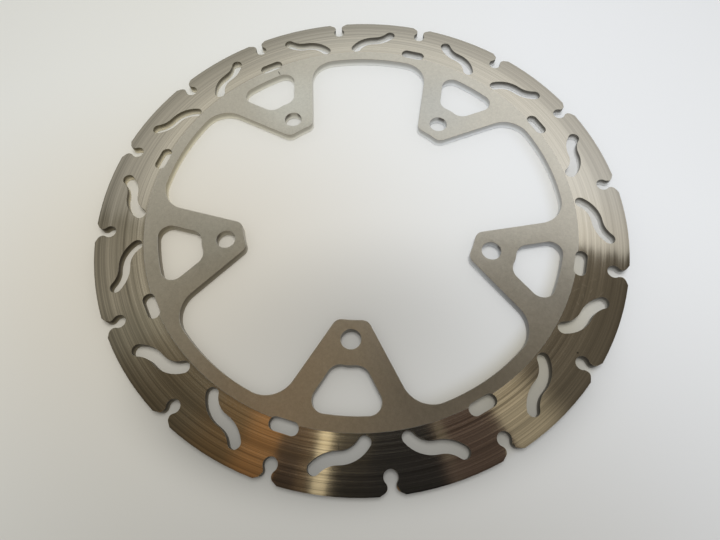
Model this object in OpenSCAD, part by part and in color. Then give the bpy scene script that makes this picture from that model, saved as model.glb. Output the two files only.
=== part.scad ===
// Rigid motorcycle brake disc: one flat steel plate with a ground friction band,
// a scalloped and slotted rim, and five bolted tabs that reach in to the hub.
// The origin is on the disc's axis, on its lower face, and +Z is up through the plate.
// One tab points along +Y.

/* [Disc] */
// Outer diameter of the disc
outer_d = 300; // [285:1:340]
// Thickness of the plate where it isn't ground
plate_t = 5; // [3:0.5:8]
// Radial width of the ground friction band
band_w = 27.2; // [25:0.1:32]
// Depth that the grinding takes off each face of the friction band
grind_depth = 0.1; // [0.05:0.05:0.5]
// Radial width of the unground ring that carries the band
ring_w = 6.8; // [5:0.1:12]

/* [Hub and bolts] */
// Diameter of the circle at the tab tips, which fits round the hub
hub_d = 134.5; // [120:0.5:138]
// Diameter of the circle through the bolt holes
bolt_circle_d = 155; // [150:0.5:165]
// Diameter of each bolt hole
bolt_hole_d = 10.5; // [6:0.1:12]
// Number of bolts, with one tab for each
bolt_count = 5; // [3:1:7]

/* [Tabs] */
// Angle between a tab's side and its centre line
tab_side_angle = 30; // [24:1:34]
// Distance from a bolt hole's centre to each side of its tab
tab_half_w = 12.4; // [10:0.1:16]
// Radius of the two corners at a tab's tip
tip_fillet_r = 5.25; // [2:0.25:7]
// Radius of the hollow where a tab's side runs into the ring
root_fillet_r = 15.5; // [4:0.5:20]

/* [Tab windows] */
// Width of the web between a window and the side of its tab
web_w = 12; // [8:0.1:14]
// Width of the land between a bolt hole and the window behind it
hole_land_w = 8.25; // [6:0.25:11]
// Width of metal between a window and the ground band
window_rim_w = 7.8; // [5:0.1:12]
// Radius of a window's two corners next to the band
window_outer_fillet_r = 6.6; // [2:0.1:8]
// Radius of a window's two corners next to the bolt hole
window_inner_fillet_r = 7.4; // [2:0.1:9]

/* [Rim notches] */
// Number of rim segments, with one notch between each two
segment_count = 16; // [8:2:18]
// Diameter of the round pocket at the bottom of a notch
pocket_d = 7; // [5:0.1:9]
// Distance from the rim to the centre of the pocket
pocket_depth = 7.8; // [6.5:0.1:10]
// Width of a notch at its neck
neck_w = 4.2; // [3:0.1:5]
// Radius of the lips on both sides of the neck
lip_r = 2.8; // [2:0.1:3.2]
// Width of a notch's mouth at the rim
mouth_w = 12; // [11:0.1:16]

/* [S-shaped slots] */
// Width of an S-shaped slot
slot_w = 6.3; // [4:0.1:8]
// Distance from the rim to the middle of the S, where it changes its bend
slot_depth = 16.3; // [14:0.1:18]
// Distance from the middle of a segment to the middle of its S
slot_shift = 3; // [0:0.1:5]
// Angle by which the middle of the S climbs outwards
slot_climb_angle = 4.8; // [0:0.1:10]
// Bend radius of the inner half of the S
inner_bend_r = 14; // [10:0.1:18]
// Bend radius of the outer half of the S
outer_bend_r = 15.6; // [12:0.1:20]
// Width of metal between a slot's inner end and the inner edge of the band
slot_edge_w = 0.6; // [0.4:0.1:2]
// Width of metal between a slot's outer end and the rim
slot_rim_w = 7.3; // [6:0.1:9]

/* [Oblong slots] */
// Width of an oblong slot
oblong_w = 6.5; // [4:0.1:8]
// Length of an oblong slot from end to end
oblong_len = 14.9; // [9:0.1:22]
// Distance from the inner edge of the band out to the slot's centre line
oblong_offset = 1.9; // [0:0.1:3]

/* [Hidden] */

band_color = [0.66, 0.63, 0.59];
carrier_color = [0.58, 0.57, 0.55];
rim_fn = 360;
arc_fn = 96;
// A blending circle is drawn larger by a hair, so that it crosses the sides that it touches
hair = 0.005;

outer_r = outer_d / 2;
band_r = outer_r - band_w;
ring_r = band_r - ring_w;
hub_r = hub_d / 2;
bolt_r = bolt_circle_d / 2;
bolt_hole_r = bolt_hole_d / 2;
first_tab_angle = 90;
segment_angle = 360 / segment_count;

// A tab is drawn with its centre line along +Y. Its right side runs along side_way, and
// side_out points out of it. Places on it are set from the bolt hole's centre by their
// distance out from the centre, across the side, and their distance along the side.
hole_centre = [0, bolt_r];
side_way = [sin(tab_side_angle), cos(tab_side_angle)];
side_out = [cos(tab_side_angle), -sin(tab_side_angle)];
function tab_point(across, along) = hole_centre + across * side_out + along * side_way;
// Distance along the side at which a line set across by so much reaches a radius of the disc
function along_at_radius(across, r) =
    let (start = tab_point(across, 0), lead = start * side_way)
    sqrt(lead * lead - start * start + r * r) - lead;
function at_radius(across, r) = tab_point(across, along_at_radius(across, r));
// The point where the ray from one point through another is so far from the first
function on_ray(from, through, distance) = from + (through - from) * distance / norm(through - from);
function mirrored(p) = [-p.x, p.y];
function bearing(v) = atan2(v.y, v.x);

tip_centre = at_radius(tab_half_w - tip_fillet_r, hub_r + tip_fillet_r);
tip_tangent = tip_centre + tip_fillet_r * side_out;
root_centre = at_radius(tab_half_w + root_fillet_r, ring_r - root_fillet_r);
root_tangent = root_centre - root_fillet_r * side_out;
tip_in_hub = on_ray([0, 0], tip_centre, hub_r - tip_fillet_r);
// Points along the middle of the ring, from one root of a tab to the other
root_bearing = atan2(root_centre.x, root_centre.y);
arc_in_ring = [
    for (k = [2 : -1 : -2])
        (ring_r + ring_w / 2) * [sin(k / 2 * root_bearing), cos(k / 2 * root_bearing)]
];

// A window's sides run along the tab's sides, inside them by the web
window_half_w = tab_half_w - web_w;
window_r = band_r - window_rim_w;
land_r = bolt_hole_r + hole_land_w;
// The inner corners become one full round where the webs leave them no more room
full_round_r = (window_half_w + land_r * sin(tab_side_angle)) / (1 - sin(tab_side_angle));
inner_corner_r = min(window_inner_fillet_r, full_round_r);
inner_corner_across = window_half_w - inner_corner_r;
inner_corner_along = sqrt(pow(land_r + inner_corner_r, 2) - pow(inner_corner_across, 2));
inner_corner = tab_point(inner_corner_across, inner_corner_along);
outer_corner = at_radius(window_half_w - window_outer_fillet_r, window_r - window_outer_fillet_r);

// A notch and a slot are drawn with the rim upwards, as in a segment along +Y.
// The lips touch the pocket, and the mouth's sides run from the lips to the rim.
pocket_r = pocket_d / 2;
pocket_centre = [0, outer_r - pocket_depth];
lip_x = neck_w / 2 + lip_r;
lip_centre = pocket_centre + [lip_x, sqrt(pow(pocket_r + lip_r, 2) - pow(lip_x, 2))];
mouth_corner = [mouth_w / 2, sqrt(pow(outer_r, 2) - pow(mouth_w / 2, 2))];
mouth_reach = norm(mouth_corner - lip_centre);
mouth_bearing = bearing(mouth_corner - lip_centre);
lip_bearing = mouth_bearing + acos(lip_r / mouth_reach);
lip_tangent = lip_centre + lip_r * [cos(lip_bearing), sin(lip_bearing)];
mouth_end = lip_tangent + 2 * (mouth_corner - lip_tangent);

// The two bends of an S meet at its middle, each on its own side of it, and run on until
// their round ends are as far from the band's inner edge and from the rim as they should be
slot_middle = [-slot_shift, outer_r - slot_depth];
bend_way = [-sin(slot_climb_angle), cos(slot_climb_angle)];
inner_bend_centre = slot_middle - inner_bend_r * bend_way;
outer_bend_centre = slot_middle + outer_bend_r * bend_way;
inner_end_r = band_r + slot_edge_w + slot_w / 2;
outer_end_r = outer_r - slot_rim_w - slot_w / 2;
// How far round a bend, from the point farthest out, it reaches a radius of the disc
function turn_to_radius(centre, bend_r, r) =
    acos((r * r - centre * centre - bend_r * bend_r) / (2 * bend_r * norm(centre)));
inner_end_bearing =
    bearing(inner_bend_centre) + turn_to_radius(inner_bend_centre, inner_bend_r, inner_end_r);
outer_end_bearing =
    bearing(outer_bend_centre) - turn_to_radius(outer_bend_centre, outer_bend_r, outer_end_r);
oblong_r = band_r + oblong_offset;

// Places a copy of a shape drawn along +Y at each of count equal steps round the disc
module round_the_disc(count, first_angle) {
    for (k = [0 : count - 1])
        rotate(first_angle - 90 + k * 360 / count)
            children();
}

// A circle that blends into the straight and round sides that it touches
module blend(centre, r) {
    translate(centre)
        circle(r + hair, $fn = arc_fn);
}

// A bent strip, round at its far end: the part of a ring from one angle to another
module bent_strip(centre, bend_r, width, from, to) {
    reach = 2 * (bend_r + width);
    middle = (from + to) / 2;
    translate(centre) {
        intersection() {
            difference() {
                circle(bend_r + width / 2, $fn = arc_fn);
                circle(bend_r - width / 2, $fn = arc_fn);
            }
            polygon([
                [0, 0],
                reach * [cos(from), sin(from)],
                reach * [cos(middle), sin(middle)],
                reach * [cos(to), sin(to)],
            ]);
        }
        blend(bend_r * [cos(to), sin(to)], width / 2);
    }
}

module rim_notch() {
    difference() {
        polygon([
            pocket_centre,
            lip_centre,
            lip_tangent,
            mouth_end,
            mirrored(mouth_end),
            mirrored(lip_tangent),
            mirrored(lip_centre),
        ]);
        blend(lip_centre, lip_r);
        blend(mirrored(lip_centre), lip_r);
    }
    translate(pocket_centre)
        circle(pocket_r, $fn = arc_fn);
}

module s_slot() {
    blend(slot_middle, slot_w / 2);
    bent_strip(inner_bend_centre, inner_bend_r, slot_w, bearing(bend_way), inner_end_bearing);
    bent_strip(outer_bend_centre, outer_bend_r, slot_w, bearing(-bend_way), outer_end_bearing);
}

// The slots of neighbouring segments mirror each other
module s_slots() {
    for (k = [0 : segment_count - 1])
        rotate((k + 0.5) * segment_angle)
            mirror([1 - k % 2, 0])
                s_slot();
}

module oblong_slot() {
    straight = oblong_len - oblong_w;
    translate([0, oblong_r]) {
        square([straight, oblong_w], center = true);
        for (side = [-1, 1])
            blend([side * straight / 2, 0], oblong_w / 2);
    }
}

// An oblong slot lies below every other notch
module oblong_slots() {
    round_the_disc(segment_count / 2, first_tab_angle + segment_angle)
        oblong_slot();
}

module tab() {
    difference() {
        polygon(concat(
            [
                mirrored(root_centre),
                mirrored(root_tangent),
                mirrored(tip_tangent),
                mirrored(tip_centre),
                mirrored(tip_in_hub),
                tip_in_hub,
                tip_centre,
                tip_tangent,
                root_tangent,
                root_centre,
            ],
            arc_in_ring
        ));
        circle(hub_r, $fn = rim_fn);
        blend(root_centre, root_fillet_r);
        blend(mirrored(root_centre), root_fillet_r);
    }
    blend(tip_centre, tip_fillet_r);
    blend(mirrored(tip_centre), tip_fillet_r);
}

module tab_window() {
    difference() {
        intersection() {
            polygon([
                inner_corner,
                inner_corner + inner_corner_r * side_out,
                outer_corner + window_outer_fillet_r * side_out,
                outer_corner,
                on_ray([0, 0], outer_corner, band_r),
                mirrored(on_ray([0, 0], outer_corner, band_r)),
                mirrored(outer_corner),
                mirrored(outer_corner + window_outer_fillet_r * side_out),
                mirrored(inner_corner + inner_corner_r * side_out),
                mirrored(inner_corner),
                hole_centre,
            ]);
            circle(window_r, $fn = rim_fn);
        }
        translate(hole_centre)
            circle(land_r, $fn = arc_fn);
    }
    blend(inner_corner, inner_corner_r);
    blend(mirrored(inner_corner), inner_corner_r);
    blend(outer_corner, window_outer_fillet_r);
    blend(mirrored(outer_corner), window_outer_fillet_r);
}

module bolt_hole() {
    translate(hole_centre)
        circle(bolt_hole_r, $fn = arc_fn);
}

module friction_band() {
    color(band_color)
        translate([0, 0, grind_depth])
            linear_extrude(plate_t - 2 * grind_depth)
                difference() {
                    circle(outer_r, $fn = rim_fn);
                    circle(band_r, $fn = rim_fn);
                    round_the_disc(segment_count, first_tab_angle)
                        rim_notch();
                    s_slots();
                    oblong_slots();
                }
}

module mounting_carrier() {
    color(carrier_color)
        linear_extrude(plate_t)
            difference() {
                union() {
                    difference() {
                        circle(band_r, $fn = rim_fn);
                        circle(ring_r, $fn = rim_fn);
                    }
                    round_the_disc(bolt_count, first_tab_angle)
                        tab();
                }
                round_the_disc(bolt_count, first_tab_angle) {
                    tab_window();
                    bolt_hole();
                }
                oblong_slots();
            }
}

friction_band();
mounting_carrier();
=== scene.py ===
"""The looks of a rigid motorcycle brake disc: finishes, floor, light and camera.

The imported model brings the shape, in metres, with the disc's axis on Z and its lower face on the
floor. This script bevels the cut edges, gives each region its steel, and lights it.

Places are given as the photograph shows them, in mm to the right of the disc's axis and beyond it.
Bearings are in degrees round the axis, counter-clockwise from the photograph's right.
"""

import bpy
import math
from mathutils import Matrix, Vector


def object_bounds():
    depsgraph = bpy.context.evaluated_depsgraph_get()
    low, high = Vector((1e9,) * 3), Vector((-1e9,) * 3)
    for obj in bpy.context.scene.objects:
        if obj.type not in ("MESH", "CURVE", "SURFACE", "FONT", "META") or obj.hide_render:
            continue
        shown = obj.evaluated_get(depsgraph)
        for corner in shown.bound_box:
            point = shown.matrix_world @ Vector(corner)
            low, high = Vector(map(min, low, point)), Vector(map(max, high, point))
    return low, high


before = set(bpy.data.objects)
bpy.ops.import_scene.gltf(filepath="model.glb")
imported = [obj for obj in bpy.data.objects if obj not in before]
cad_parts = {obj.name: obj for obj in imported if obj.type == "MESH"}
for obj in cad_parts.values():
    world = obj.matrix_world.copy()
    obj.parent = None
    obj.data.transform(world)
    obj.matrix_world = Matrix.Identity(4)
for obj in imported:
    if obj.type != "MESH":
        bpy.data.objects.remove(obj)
CAD_BOX = [list(corner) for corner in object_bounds()]

MM = 0.001

# The camera's place in metres, its turns about X, Y and Z in degrees, and its lens on a 36 mm sensor
CAMERA_PLACE = (0.0922, -0.1066, 0.2363)
CAMERA_TURNS = (23.75, 0.93, 39.24)
CAMERA_LENS = 23.38
SENSOR_WIDTH = 36
NEAREST_SEEN = 10 * MM

# The photograph's right side, in degrees counter-clockwise from +X
RIGHT_SIDE = 45


def outer_radius(node):
    """How far a CAD node reaches from the disc's axis, in metres."""
    return max(math.hypot(vertex.co.x, vertex.co.y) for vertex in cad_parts[node].data.vertices)


# Sizes of the disc that the finishes follow, in metres
BAND_RADIUS = outer_radius("mounting_carrier")
RIM_RADIUS = outer_radius("friction_band")
PLATE_HEIGHT = CAD_BOX[1][2]

# The cut edges: the width and the steps of their bevel, the least angle in degrees that gets one, and the
# gap to weld
EDGE_BEVEL = 0.18 * MM
BEVEL_STEPS = 2
SHARP_EDGE = 60
WELD_GAP = 0.002 * MM

# How far the normal leans up: at most the first on a cut wall, and at least the second on a flat face
WALL_LEANS = (0.5, 0.9)

# The ground band's colour, and what becomes of its tone and its roughness from its inner edge to the rim
BAND_COLOUR = (0.56, 0.532, 0.47)
BAND_TONES = (1.18, 0.66)
BAND_ROUGHNESS = (0.10, 0.07)

# Its ground circles, as noise: how many per metre of radius, how much they change round the disc, and detail
FINE_CIRCLES = (1500, 0.5, 3.0)
HAIR_CIRCLES = (3000, 0.35, 2.0)
BROAD_CIRCLES = (420, 0.5, 2.0)
CIRCLE_ZONES = (110, 0.4, 0.0)

# How much they change the tone, how much rougher some get, and how far they tilt the surface
FINE_TONE = 0.14
HAIR_TONE = 0.10
BROAD_TONE = 0.05
ZONE_TONE = 0.03
THIN_ROUGHNESS = 0.04
BROAD_ROUGHNESS = 0.03
GROOVE_SLOPE = 0.02

# How much they stretch a reflection, and the share of a turn that sets the direction
GROOVE_STRETCH = 1.0
GROOVE_TURN = 0.25

# The thin circles' tone weakens between these places, from the near side to the axis
NEAR_CIRCLES = (-135, 0)
NEAR_STRENGTHS = (1.7, 0.8)

# Towards the right, the thin circles' tone and roughness and every circle's tilt weaken between these places
CALM_CIRCLES = (60, 110)
CALM_STRENGTHS = (1.0, 0.5)

# The dark circle just outside the band's inner edge: how far out it lies, the half widths between which
# it ends, in mm, and its change of tone
START_CIRCLE = 0.6
START_WIDTHS = (0.2, 0.8)
START_TONE = -0.08

# The carrier's colour and roughness
CARRIER_COLOUR = (0.64, 0.62, 0.56)
CARRIER_ROUGHNESS = (0.29, 0.33)

# Its grain, as noise: the scale per metre, the detail and the noise's own roughness, and the changes of tone
GRAIN = (1300, 2.0, 0.5)
MOTTLE = (420, 3.0, 0.55)
CLOUD = (45, 2.0, 0.5)
GRAIN_TONE = 0.05
MOTTLE_TONE = 0.05
CLOUD_TONE = 0.03

# Noise's middle value, and how far from it noise counts in full: in general, and in the tone of the thin and
# the broad circles
NOISE_MIDDLE = 0.5
NOISE_SWING = 0.2
CIRCLE_SWING = 0.15

# The part of the noise's range in which circles get rougher
ROUGHER_NOISE = (0.45, 0.75)

# Soft lighter and darker patches of tone on the carrier: the middle, the half lengths, and what each makes
# of the steel's colour. The two darkest, at the near right, are painted shade
TONE_PATCHES_AND_PAINTED_SHADE = [
    ((-36, 84), (27, 29), (1.18, 1.23, 1.28, 1)),
    ((55, 70), (30, 30), (0.95, 0.98, 1.03, 1)),
    ((-84, -13), (24, 24), (0.94, 0.96, 0.98, 1)),
    ((80, -42), (22, 22), (0.91, 0.91, 0.90, 1)),
    # Painted shade at the near right
    ((55, -105), (60, 32), (0.66, 0.66, 0.66, 1)),
    ((100, -66), (28, 32), (0.79, 0.79, 0.79, 1)),
]

# The cut walls' colours at the foot, lit by painted light from the floor, and at the top, and the same in
# painted shade
BAND_WALLS = (
    (0.98, 0.98, 0.97, 1),
    (0.17, 0.16, 0.14, 1),
    (0.29, 0.28, 0.26, 1),
    (0.07, 0.062, 0.052, 1),
)
CARRIER_WALLS = (
    (0.86, 0.875, 0.89, 1),
    (0.40, 0.395, 0.38, 1),
    (0.27, 0.26, 0.245, 1),
    (0.14, 0.13, 0.115, 1),
)
WALL_ROUGHNESS = 0.28

# The share of the plate's height in which a wall changes from the one to the other
WALL_RISE = 0.75

# The walls lie in shade on the near side, up to the first of these distances beyond the axis, and out of it
# from the second on. The line between them slants: it lies nearer by this share of the way to the right
WALL_SHADE = (-58, -15)
WALL_SHADE_SLANT = 0.4

# A patch at the near right where the walls get less light: the middle, the half lengths and the change
DIM_WALLS = ((100, -50), (58, 42))
DIM_WALL_CHANGE = (0.52, 0.52, 0.53, 1)

# The walls get a painted warm light at the left of the first of these places, and none at the right of the
# second
WARM_LIGHT_ON_WALLS = (-130, 60)
WARM_LIGHT_CHANGE = (1.0, 0.93, 0.74, 1)

# Small dark marks that wear has left: the middle, half the length and width, and the bearing of the length
CARRIER_MARKS = [
    (-42.8, 109.5, 1.9, 0.4, -70),
    (-37.4, 105.8, 1.0, 0.7, 0),
    (-98.6, -51.0, 0.9, 0.7, 60),
]
BAND_MARKS = [
    (99.5, -95.3, 0.6, 0.5, 0),
]
# The marks' dark paint and its strength, used also for the painted shade on the bolt holes' walls
MARK_AND_SHADE_PAINT = (0.07, 0.06, 0.05, 1)
MARK_AND_SHADE_STRENGTH = 0.8

# Where a mark begins to fade and where it ends, and where a soft patch ends, as shares of the half lengths
MARK_FADE = (0.5, 1.3)
SHADE_END = 1.3

# Painted shade: dark patches on the walls of the bolt holes, given in the same way
PAINTED_HOLE_SHADE = [
    (57.8, 59.1, 2.2, 2.2, 0),
    (-39.2, 72.4, 3.2, 3.2, 0),
    (-31.6, 72.4, 1.6, 1.6, 0),
    (-81.6, -10.7, 3.5, 3.5, 0),
    (74.6, -33.8, 2.2, 2.2, 0),
    (-9.5, -72.0, 3.5, 3.5, 0),
]

# Faint pale scratches across the band, given in the same way
SCRATCHES = [
    (108.0, -62.5, 2.6, 0.13, 20),
    (111.0, -66.0, 1.8, 0.11, 75),
    (113.5, -60.5, 2.2, 0.11, -30),
    (116.0, -64.0, 1.5, 0.13, 50),
    (118.5, -58.0, 2.4, 0.11, 10),
    (107.0, -70.0, 1.6, 0.11, -60),
    (121.0, -66.0, 1.9, 0.11, 35),
    (112.0, -56.5, 1.4, 0.11, 80),
]
SCRATCH_PAINT = (0.95, 0.92, 0.87, 1)
SCRATCH_STRENGTH = 0.75

# The floor, in metres, with its colour at the photograph's left and right and the places between which it
# changes
FLOOR_SIZE = 12
FLOOR_SINK = 0.02 * MM
FLOOR_ROUGHNESS = 0.7
FLOOR_SPECULAR = 0.2
FLOOR_LEFT = (0.773, 0.772, 0.723, 1)
FLOOR_RIGHT = (0.829, 0.846, 0.862, 1)
FLOOR_SIDES = (-120, 132)

# The wide shade on the floor at the near left: the middle, the half lengths and the floor's colour in it
WIDE_SHADE = ((-50, -322), (330, 302))
FLOOR_SHADED = (0.349, 0.333, 0.295, 1)

# The shades by the disc: the middle, the half lengths, what they make of the floor's colour, and the radii
# about the disc's axis at which each begins, is full, ebbs and ends
DISC_SHADES = [
    ((-7, -69), (91, 54), (0.779, 0.779, 0.779, 1), None),
    ((-115, -19), (160, 131), (0.90, 0.848, 0.773, 1), None),
    ((-10, -104), (112, 48), (0.192, 0.192, 0.192, 1), (110, 149, 151.6, 176)),
    ((65, -44), (83, 118), (0.62, 0.55, 0.38, 1), (106, 121, 146, 152)),
]

# What is seen far from the disc, and the distances in metres between which the floor turns into it
BACKDROP = (0.80, 0.80, 0.79, 1)
BACKDROP_DISTANCES = (0.4, 1.1)

# The soft light from all round
SOFT_LIGHT = (0.50, 0.50, 0.50, 1)

# The sides of the room as the disc mirrors them: bearings and colours
ROOM_SIDES = [
    (0, (1.08, 1.08, 1.07)),
    (35, (0.99, 0.975, 0.935)),
    (90, (0.78, 0.77, 0.72)),
    (118, (0.65, 0.63, 0.565)),
    (140, (0.68, 0.655, 0.585)),
    (162, (0.61, 0.585, 0.525)),
    (200, (0.27, 0.24, 0.18)),
    (290, (0.14, 0.118, 0.085)),
    (345, (1.02, 0.98, 0.90)),
    (360, (1.08, 1.08, 1.07)),
]

# Bright and dark panels in front of them: the bearing and softness of the start and of the end, the colour,
# and the nearest and farthest place from the axis, in mm, where only a part of the band mirrors the panel
PANELS = [
    (175, 2, 209, 3, (0.30, 0.275, 0.215), None),
    (177, 3, 199, 4, (0.47, 0.43, 0.35), (137, 300)),
    (177, 3, 199, 4, (0.23, 0.205, 0.16), (100, 129)),
    (212, 10, 246, 8, (0.14, 0.112, 0.073), None),
    (231, 5, 247.5, 1, (0.185, 0.12, 0.06), None),
    (240, 2.5, 247.6, 0.7, (0.345, 0.18, 0.073), None),
    (247.4, 0.8, 255, 1, (0.17, 0.115, 0.07), None),
    (247.6, 0.6, 252.5, 1.2, (0.055, 0.039, 0.031), (133, 200)),
    (257, 1, 343.2, 1.0, (0.18, 0.153, 0.115), None),
    (259.5, 2, 286, 3, (0.10, 0.087, 0.067), (100, 133)),
    (259.2, 0.8, 286, 3, (0.027, 0.025, 0.023), (131, 300)),
    (266, 2, 286, 3, (0.032, 0.03, 0.028), None),
    (280.5, 1.5, 295, 1.5, (0.125, 0.088, 0.07), None),
    (280.7, 0.7, 282.8, 0.5, (0.33, 0.29, 0.21), (100, 131)),
    (255.5, 0.5, 258.1, 0.2, (1.02, 0.86, 0.57), None),
    (294.2, 0.5, 304.5, 4, (0.54, 0.465, 0.335), None),
]

# How softly such a place begins and ends, in mm
PANEL_SOFTNESS = 3

# How the room's colours change where the carrier mirrors them: bearings and changes, and the distances
# from the axis between which the changes fade out
INNER_CHANGES = [
    (0, (1.0, 1.0, 1.0)),
    (45, (0.96, 0.985, 1.02)),
    (80, (0.99, 1.01, 1.03)),
    (110, (1.03, 1.05, 1.09)),
    (150, (1.0, 1.0, 1.0)),
    (189, (0.96, 0.97, 0.96)),
    (230, (1.03, 1.03, 0.95)),
    (261, (1.13, 1.06, 0.87)),
    (284, (0.48, 0.42, 0.36)),
    (305, (0.45, 0.41, 0.36)),
    (328, (0.55, 0.53, 0.49)),
    (345, (0.92, 0.91, 0.89)),
]
INNER_EDGE = (112, 122)

# The room's colour low down, how steeply a ray climbs where that colour ends, and the least climb that is
# reckoned with
LOW_COLOUR = (0.75, 0.78, 0.85, 1)
LOW_CLIMBS = (0.15, 0.35)
LEAST_CLIMB = 0.02

# The soft round lamp over the disc: metres to the right, beyond and up, its width, and its power in watts
LAMP_PLACE = (0.04, 0.04, 0.85)
LAMP_SIZE = 0.45
LAMP_POWER = 3.8


# Short calls that add shader nodes


def add(tree, kind, **settings):
    """A new node with these settings."""
    node = tree.nodes.new(kind)
    for name, value in settings.items():
        setattr(node, name, value)
    return node


def feed(tree, socket, source):
    """Gives a socket its source, which is another node's socket or a plain value."""
    if isinstance(source, bpy.types.NodeSocket):
        tree.links.new(source, socket)
    else:
        socket.default_value = source


def feed_all(tree, sockets, sources):
    """Gives the first sockets their sources, in order."""
    for socket, source in zip(sockets, sources):
        feed(tree, socket, source)


def maths(tree, operation, *sources, clamp=False):
    """The result of a calculation with plain values."""
    node = add(tree, "ShaderNodeMath", operation=operation, use_clamp=clamp)
    feed_all(tree, node.inputs, sources)
    return node.outputs[0]


def total(tree, *sources):
    """The sum of the sources."""
    so_far = sources[0]
    for source in sources[1:]:
        so_far = maths(tree, "ADD", so_far, source)
    return so_far


def product(tree, *sources):
    """The product of the sources."""
    so_far = sources[0]
    for source in sources[1:]:
        so_far = maths(tree, "MULTIPLY", so_far, source)
    return so_far


def distance(tree, x, y):
    """How far a place lies from the middle, given its two parts."""
    return maths(tree, "SQRT", total(tree, product(tree, x, x), product(tree, y, y)))


def mapped(tree, source, low, high, to_low=0.0, to_high=1.0, smooth=False):
    """The source's range from low to high, mapped to another range and held at its ends."""
    kind = "SMOOTHSTEP" if smooth else "LINEAR"
    node = add(tree, "ShaderNodeMapRange", interpolation_type=kind)
    feed_all(tree, node.inputs, (source, low, high, to_low, to_high))
    return node.outputs[0]


def swing(tree, source, most, half_range=NOISE_SWING):
    """A noise as a change of up to so much either way, reached at half_range from its middle value."""
    return mapped(tree, source, NOISE_MIDDLE - half_range, NOISE_MIDDLE + half_range, -most, most)


def mixed(tree, share, first, second, blend="MIX"):
    """Two colours mixed by a share from 0 to 1."""
    node = add(tree, "ShaderNodeMix", data_type="RGBA", blend_type=blend)
    feed(tree, node.inputs["Factor"], share)
    feed(tree, node.inputs[6], first)
    feed(tree, node.inputs[7], second)
    return node.outputs[2]


def mixed_value(tree, share, first, second):
    """Two plain values mixed by a share from 0 to 1."""
    node = add(tree, "ShaderNodeMix", data_type="FLOAT")
    feed(tree, node.inputs[0], share)
    feed(tree, node.inputs[2], first)
    feed(tree, node.inputs[3], second)
    return node.outputs[0]


def shaded(tree, colour, tone):
    """A plain colour made lighter or darker by a tone about 1."""
    grey = combined(tree, tone, tone, tone)
    return mixed(tree, 1.0, (*colour, 1), grey, "MULTIPLY")


def noise(tree, vector, scale, detail, roughness=0.5):
    """Noise of a scale, with more or less fine detail."""
    node = add(tree, "ShaderNodeTexNoise")
    feed(tree, node.inputs["Vector"], vector)
    feed(tree, node.inputs["Scale"], scale)
    feed(tree, node.inputs["Detail"], detail)
    feed(tree, node.inputs["Roughness"], roughness)
    return node.outputs["Fac"]


def combined(tree, x, y, z):
    """A vector from its three parts."""
    node = add(tree, "ShaderNodeCombineXYZ")
    feed_all(tree, node.inputs, (x, y, z))
    return node.outputs[0]


def separated(tree, vector):
    """The three parts of a vector."""
    node = add(tree, "ShaderNodeSeparateXYZ")
    feed(tree, node.inputs[0], vector)
    return node.outputs


def round_ramp(tree, turn, stops):
    """The colour at a turn from 0 to 1, from stops of a bearing and a colour, in order."""
    node = add(tree, "ShaderNodeValToRGB")
    scale = node.color_ramp
    scale.interpolation = "LINEAR"
    while len(scale.elements) < len(stops):
        scale.elements.new(1.0)
    for element, (bearing, colour) in zip(scale.elements, stops):
        element.position = bearing / 360
        element.color = (*colour, 1)
    feed(tree, node.inputs[0], turn)
    return node.outputs[0]


# Places and shades that several materials share


def place_on_object(tree):
    """The place on the object, in metres."""
    return add(tree, "ShaderNodeTexCoord").outputs["Object"]


def polar(tree):
    """The radius in metres about the disc's axis, and the unit vector's two parts."""
    x, y, _ = separated(tree, place_on_object(tree))
    radius = distance(tree, x, y)
    return radius, maths(tree, "DIVIDE", x, radius), maths(tree, "DIVIDE", y, radius)


def shows_background(tree):
    """1 for the rays that show the background: from the camera, and from there by way of metal or glass."""
    path = add(tree, "ShaderNodeLightPath")
    seen = maths(tree, "MAXIMUM", path.outputs["Is Camera Ray"], path.outputs["Is Glossy Ray"])
    return maths(tree, "MAXIMUM", seen, path.outputs["Is Transmission Ray"])


def cut_wall(tree):
    """1 on the cut walls, 0 on the flat faces."""
    normal = add(tree, "ShaderNodeNewGeometry").outputs["Normal"]
    tilt = maths(tree, "ABSOLUTE", separated(tree, normal)[2])
    return mapped(tree, tilt, *WALL_LEANS, 1.0, 0.0)


def photo_place(tree):
    """The place as the photograph shows it, in metres to the right of the disc's axis and beyond it."""
    place = separated(tree, place_on_object(tree))
    turn = math.radians(RIGHT_SIDE)
    to_right = total(
        tree,
        product(tree, place[0], math.cos(turn)),
        product(tree, place[1], math.sin(turn)),
    )
    beyond = total(
        tree,
        product(tree, place[0], -math.sin(turn)),
        product(tree, place[1], math.cos(turn)),
    )
    return to_right, beyond


def mapped_mm(tree, source, limits, to_low=0.0, to_high=1.0, smooth=False):
    """A length in metres, mapped from its limits in mm."""
    low, high = limits
    return mapped(tree, source, low * MM, high * MM, to_low, to_high, smooth)


def shade(tree, middle, reach):
    """1 in the middle of a soft patch, falling to 0 a little beyond its reach."""
    to_right, beyond = photo_place(tree)
    aside = maths(tree, "DIVIDE", maths(tree, "SUBTRACT", to_right, middle[0] * MM), reach[0] * MM)
    off = maths(tree, "DIVIDE", maths(tree, "SUBTRACT", beyond, middle[1] * MM), reach[1] * MM)
    return mapped(tree, distance(tree, aside, off), 0.0, SHADE_END, 1.0, 0.0, smooth=True)


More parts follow.
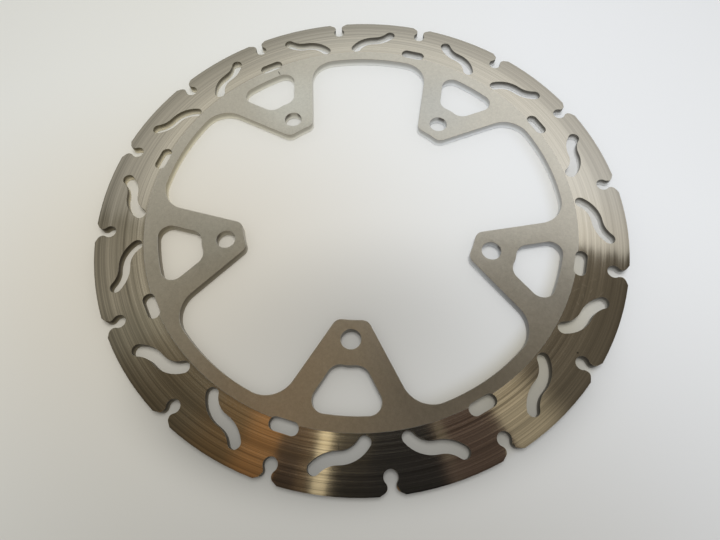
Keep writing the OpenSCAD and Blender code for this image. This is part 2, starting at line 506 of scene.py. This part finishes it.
def marked_and_shaded(tree, colour, marks_and_shade, paint=MARK_AND_SHADE_PAINT, strength=MARK_AND_SHADE_STRENGTH):
    """A colour with small marks on it: wear, scratches, and painted shade on the bolt holes' walls."""
    to_right, beyond = photo_place(tree)
    for middle_right, middle_beyond, half_length, half_width, bearing in marks_and_shade:
        cosine = math.cos(math.radians(bearing))
        sine = math.sin(math.radians(bearing))
        x = maths(tree, "SUBTRACT", to_right, middle_right * MM)
        y = maths(tree, "SUBTRACT", beyond, middle_beyond * MM)
        lengthwise = total(tree, product(tree, x, cosine), product(tree, y, sine))
        across = maths(tree, "SUBTRACT", product(tree, y, cosine), product(tree, x, sine))
        lengthwise = maths(tree, "DIVIDE", lengthwise, half_length * MM)
        across = maths(tree, "DIVIDE", across, half_width * MM)
        cover = mapped(tree, distance(tree, lengthwise, across), *MARK_FADE, strength, 0.0, smooth=True)
        colour = mixed(tree, cover, colour, paint)
    return colour


# Finishes


def wall_colour(tree, colours, marks_and_shade=()):
    """Cut steel that darkens from its foot, lit by painted light from the floor, to its upper edge, with
    painted shade on the near side and in the patches given.
    """
    foot, top, shaded_foot, shaded_top = colours
    height = separated(tree, place_on_object(tree))[2]
    rise = mapped(tree, height, 0.0, WALL_RISE * PLATE_HEIGHT, smooth=True)
    lit = mixed(tree, rise, foot, marked_and_shaded(tree, top, marks_and_shade))
    shaded_wall = mixed(tree, rise, shaded_foot, marked_and_shaded(tree, shaded_top, marks_and_shade))
    to_right, beyond = photo_place(tree)
    deep = maths(tree, "MULTIPLY_ADD", to_right, WALL_SHADE_SLANT, beyond)
    in_shade = mapped_mm(tree, deep, WALL_SHADE, 1.0, 0.0, smooth=True)
    colour = mixed(tree, in_shade, lit, shaded_wall)
    colour = mixed(tree, shade(tree, *DIM_WALLS), colour, DIM_WALL_CHANGE, "MULTIPLY")
    # Painted warm light on the walls at the left
    warm_light = mixed(tree, mapped_mm(tree, to_right, WARM_LIGHT_ON_WALLS), WARM_LIGHT_CHANGE, (1, 1, 1, 1))
    return mixed(tree, 1.0, colour, warm_light, "MULTIPLY")


def steel(name):
    """A new metal, with its node tree and its shader."""
    material = bpy.data.materials.new(name)
    material.use_nodes = True
    tree = material.node_tree
    shader = tree.nodes["Principled BSDF"]
    shader.inputs["Metallic"].default_value = 1.0
    return material, tree, shader


def ground_steel():
    """Steel ground in fine circles about the disc's axis, which spread a reflection along the radius."""
    material, tree, shader = steel("ground_steel")
    radius, across, along = polar(tree)
    wall = cut_wall(tree)

    def circles(per_metre, change, detail):
        """Noise in long arcs: so many per metre of radius, broken up slowly round the disc."""
        place = combined(
            tree,
            product(tree, radius, per_metre),
            product(tree, across, change),
            product(tree, along, change),
        )
        return noise(tree, place, 1.0, detail)

    fine = circles(*FINE_CIRCLES)
    hair = circles(*HAIR_CIRCLES)
    broad = circles(*BROAD_CIRCLES)
    zones = circles(*CIRCLE_ZONES)
    to_right, beyond = photo_place(tree)
    calm = mapped_mm(tree, to_right, CALM_CIRCLES, *CALM_STRENGTHS)
    near = mapped_mm(tree, beyond, NEAR_CIRCLES, *NEAR_STRENGTHS)

    thin_tone = total(
        tree,
        swing(tree, hair, HAIR_TONE, CIRCLE_SWING),
        swing(tree, fine, FINE_TONE, CIRCLE_SWING),
    )
    start = BAND_RADIUS + START_CIRCLE * MM
    from_start = maths(tree, "ABSOLUTE", maths(tree, "SUBTRACT", radius, start))
    tone = total(
        tree,
        1.0,
        mapped_mm(tree, from_start, START_WIDTHS, START_TONE, 0.0),
        product(tree, thin_tone, calm, near),
        swing(tree, broad, BROAD_TONE, CIRCLE_SWING),
        swing(tree, zones, ZONE_TONE),
    )
    tone = product(tree, tone, mapped(tree, radius, BAND_RADIUS, RIM_RADIUS, *BAND_TONES))
    flat = shaded(tree, BAND_COLOUR, tone)
    flat = marked_and_shaded(tree, flat, SCRATCHES, SCRATCH_PAINT, SCRATCH_STRENGTH)
    colour = mixed(tree, wall, flat, wall_colour(tree, BAND_WALLS))
    feed(tree, shader.inputs["Base Color"], marked_and_shaded(tree, colour, BAND_MARKS))

    rough_thin = total(
        tree,
        mapped(tree, fine, *ROUGHER_NOISE, 0.0, THIN_ROUGHNESS),
        mapped(tree, hair, *ROUGHER_NOISE, 0.0, THIN_ROUGHNESS),
    )
    roughness = total(
        tree,
        mapped(tree, radius, BAND_RADIUS, RIM_RADIUS, *BAND_ROUGHNESS),
        product(tree, rough_thin, calm),
        mapped(tree, broad, *ROUGHER_NOISE, 0.0, BROAD_ROUGHNESS),
    )
    feed(tree, shader.inputs["Roughness"], mixed_value(tree, wall, roughness, WALL_ROUGHNESS))

    shader.inputs["Anisotropic"].default_value = GROOVE_STRETCH
    shader.inputs["Anisotropic Rotation"].default_value = GROOVE_TURN
    tangent = add(tree, "ShaderNodeTangent", direction_type="RADIAL", axis="Z")
    feed(tree, shader.inputs["Tangent"], tangent.outputs[0])

    # The grooves tilt the flat surface along the radius, more or less from one to the next
    tilt = total(tree, swing(tree, fine, GROOVE_SLOPE), swing(tree, broad, GROOVE_SLOPE))
    tilt = product(tree, tilt, calm, maths(tree, "SUBTRACT", 1.0, wall))
    lean = combined(tree, product(tree, across, tilt), product(tree, along, tilt), 0.0)
    normal = add(tree, "ShaderNodeVectorMath", operation="ADD")
    feed(tree, normal.inputs[0], add(tree, "ShaderNodeNewGeometry").outputs["Normal"])
    feed(tree, normal.inputs[1], lean)
    unit = add(tree, "ShaderNodeVectorMath", operation="NORMALIZE")
    feed(tree, unit.inputs[0], normal.outputs[0])
    feed(tree, shader.inputs["Normal"], unit.outputs[0])
    return material


def matte_steel():
    """Steel as rolled and tumbled, matte with a fine grain."""
    material, tree, shader = steel("matte_steel")
    place = place_on_object(tree)
    wall = cut_wall(tree)

    grain = noise(tree, place, *GRAIN)
    mottle = noise(tree, place, *MOTTLE)
    cloud = noise(tree, place, *CLOUD)
    tone = total(
        tree,
        1.0,
        swing(tree, grain, GRAIN_TONE),
        swing(tree, mottle, MOTTLE_TONE),
        swing(tree, cloud, CLOUD_TONE),
    )
    flat = shaded(tree, CARRIER_COLOUR, tone)
    # Soft patches of tone, and painted shade at the near right
    for middle, reach, change in TONE_PATCHES_AND_PAINTED_SHADE:
        flat = mixed(tree, shade(tree, middle, reach), flat, change, "MULTIPLY")
    # The carrier's walls, with painted shade on the bolt holes' walls
    colour = mixed(tree, wall, flat, wall_colour(tree, CARRIER_WALLS, PAINTED_HOLE_SHADE))
    feed(tree, shader.inputs["Base Color"], marked_and_shaded(tree, colour, CARRIER_MARKS))
    lowest = NOISE_MIDDLE - NOISE_SWING
    highest = NOISE_MIDDLE + NOISE_SWING
    roughness = mapped(tree, mottle, lowest, highest, *CARRIER_ROUGHNESS)
    feed(tree, shader.inputs["Roughness"], mixed_value(tree, wall, roughness, WALL_ROUGHNESS))
    return material


def dress(node, material):
    """Gives a CAD node its finish and breaks its sharp edges."""
    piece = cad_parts[node]
    piece.data.materials.clear()
    piece.data.materials.append(material)
    for polygon in piece.data.polygons:
        polygon.use_smooth = True
    weld = piece.modifiers.new("weld", "WELD")
    weld.merge_threshold = WELD_GAP
    bevel = piece.modifiers.new("edges", "BEVEL")
    bevel.width = EDGE_BEVEL
    bevel.segments = BEVEL_STEPS
    bevel.limit_method = "ANGLE"
    bevel.angle_limit = math.radians(SHARP_EDGE)
    bevel.harden_normals = False
    normals = piece.modifiers.new("normals", "WEIGHTED_NORMAL")
    normals.keep_sharp = False


# Floor


def floor_colour(tree):
    """The floor from left to right, with its soft shades."""
    to_right, _ = photo_place(tree)
    radius, _, _ = polar(tree)
    colour = mixed(tree, mapped_mm(tree, to_right, FLOOR_SIDES), FLOOR_LEFT, FLOOR_RIGHT)
    colour = mixed(tree, shade(tree, *WIDE_SHADE), colour, FLOOR_SHADED)
    for middle, reach, change, radii in DISC_SHADES:
        share = shade(tree, middle, reach)
        if radii:
            begun = mapped_mm(tree, radius, radii[:2], smooth=True)
            left = mapped_mm(tree, radius, radii[2:], 1.0, 0.0, smooth=True)
            share = product(tree, share, begun, left)
        colour = mixed(tree, share, colour, change, "MULTIPLY")
    return colour


def floor():
    """The floor under the disc, which turns into the backdrop far from it."""
    mesh = bpy.data.meshes.new("floor")
    half = FLOOR_SIZE / 2
    corners = [(-half, -half), (half, -half), (half, half), (-half, half)]
    mesh.from_pydata([(x, y, -FLOOR_SINK) for x, y in corners], [], [(0, 1, 2, 3)])
    piece = bpy.data.objects.new("floor", mesh)
    bpy.context.scene.collection.objects.link(piece)
    material = bpy.data.materials.new("floor")
    material.use_nodes = True
    tree = material.node_tree
    shader = tree.nodes["Principled BSDF"]
    feed(tree, shader.inputs["Base Color"], floor_colour(tree))
    shader.inputs["Roughness"].default_value = FLOOR_ROUGHNESS
    shader.inputs["Specular IOR Level"].default_value = FLOOR_SPECULAR

    away = add(tree, "ShaderNodeVectorMath", operation="LENGTH")
    feed(tree, away.inputs[0], place_on_object(tree))
    far = mapped(tree, away.outputs["Value"], *BACKDROP_DISTANCES, smooth=True)
    backdrop = add(tree, "ShaderNodeEmission")
    feed(tree, backdrop.inputs["Color"], BACKDROP)
    blend = add(tree, "ShaderNodeMixShader")
    share = product(tree, shows_background(tree), far)
    feed_all(tree, blend.inputs, (share, shader.outputs[0], backdrop.outputs[0]))
    feed(tree, tree.nodes["Material Output"].inputs["Surface"], blend.outputs[0])
    mesh.materials.append(material)


# Light


def panels(tree, sides, turn, away):
    """The room's sides with the panels in front of them."""
    for start, start_softness, end, end_softness, colour, reaches in PANELS:
        begin, begun = (start - start_softness) / 360, (start + start_softness) / 360
        ebb, ended = (end - end_softness) / 360, (end + end_softness) / 360
        share = product(
            tree,
            mapped(tree, turn, begin, begun, smooth=True),
            mapped(tree, turn, ebb, ended, 1.0, 0.0, smooth=True),
        )
        if reaches:
            nearest, farthest = reaches
            share = product(
                tree,
                share,
                mapped_mm(tree, away, (nearest - PANEL_SOFTNESS, nearest + PANEL_SOFTNESS)),
                mapped_mm(tree, away, (farthest - PANEL_SOFTNESS, farthest + PANEL_SOFTNESS), 1.0, 0.0),
            )
        sides = mixed(tree, share, sides, (*colour, 1))
    return sides


def studio():
    """The room: plain and pale for the camera and for soft light, and with its own bright and dark sides
    in reflections. Those sides are wedges round the direction in which the disc's axis is mirrored."""
    world = bpy.data.worlds.new("studio")
    world.use_nodes = True
    bpy.context.scene.world = world
    tree = world.node_tree
    background = tree.nodes["Background"]

    # Where a ray that the flat disc mirrors to the camera has left the disc's face
    way = separated(tree, add(tree, "ShaderNodeTexCoord").outputs["Generated"])
    climb = maths(tree, "MAXIMUM", way[2], LEAST_CLIMB)
    eye_x, eye_y, eye_height = CAMERA_PLACE
    x = maths(tree, "MULTIPLY_ADD", maths(tree, "DIVIDE", way[0], climb), eye_height, eye_x)
    y = maths(tree, "MULTIPLY_ADD", maths(tree, "DIVIDE", way[1], climb), eye_height, eye_y)
    away = distance(tree, x, y)
    turn = maths(tree, "DIVIDE", maths(tree, "ARCTAN2", y, x), 2 * math.pi)
    turn = maths(tree, "FRACT", maths(tree, "SUBTRACT", turn, RIGHT_SIDE / 360))

    sides = panels(tree, round_ramp(tree, turn, ROOM_SIDES), turn, away)
    changed = mixed(tree, 1.0, sides, round_ramp(tree, turn, INNER_CHANGES), "MULTIPLY")
    sides = mixed(tree, mapped_mm(tree, away, INNER_EDGE, 1.0, 0.0), sides, changed)
    sides = mixed(tree, mapped(tree, way[2], *LOW_CLIMBS, 1.0, 0.0), sides, LOW_COLOUR)

    path = add(tree, "ShaderNodeLightPath").outputs
    mirrored = maths(tree, "SUBTRACT", path["Is Glossy Ray"], path["Diffuse Depth"], clamp=True)
    soft = mixed(tree, shows_background(tree), SOFT_LIGHT, BACKDROP)
    feed(tree, background.inputs["Color"], mixed(tree, mirrored, soft, sides))


def lamp():
    """A soft round lamp that hangs over the disc, shines down and isn't mirrored."""
    light = bpy.data.lights.new("lamp", "AREA")
    light.shape = "DISK"
    light.size = LAMP_SIZE
    light.energy = LAMP_POWER
    piece = bpy.data.objects.new("lamp", light)
    to_right, beyond, height = LAMP_PLACE
    turn = math.radians(RIGHT_SIDE)
    piece.location = (
        to_right * math.cos(turn) - beyond * math.sin(turn),
        to_right * math.sin(turn) + beyond * math.cos(turn),
        height,
    )
    piece.visible_glossy = False
    bpy.context.scene.collection.objects.link(piece)


# Camera


def camera():
    """The photograph's camera."""
    lens = bpy.data.cameras.new("camera")
    lens.sensor_width = SENSOR_WIDTH
    lens.lens = CAMERA_LENS
    lens.clip_start = NEAREST_SEEN
    piece = bpy.data.objects.new("camera", lens)
    piece.location = CAMERA_PLACE
    piece.rotation_euler = [math.radians(turn) for turn in CAMERA_TURNS]
    bpy.context.scene.collection.objects.link(piece)
    bpy.context.scene.camera = piece


dress("friction_band", ground_steel())
dress("mounting_carrier", matte_steel())
floor()
studio()
lamp()
camera()
bpy.context.scene.view_settings.view_transform = "Standard"
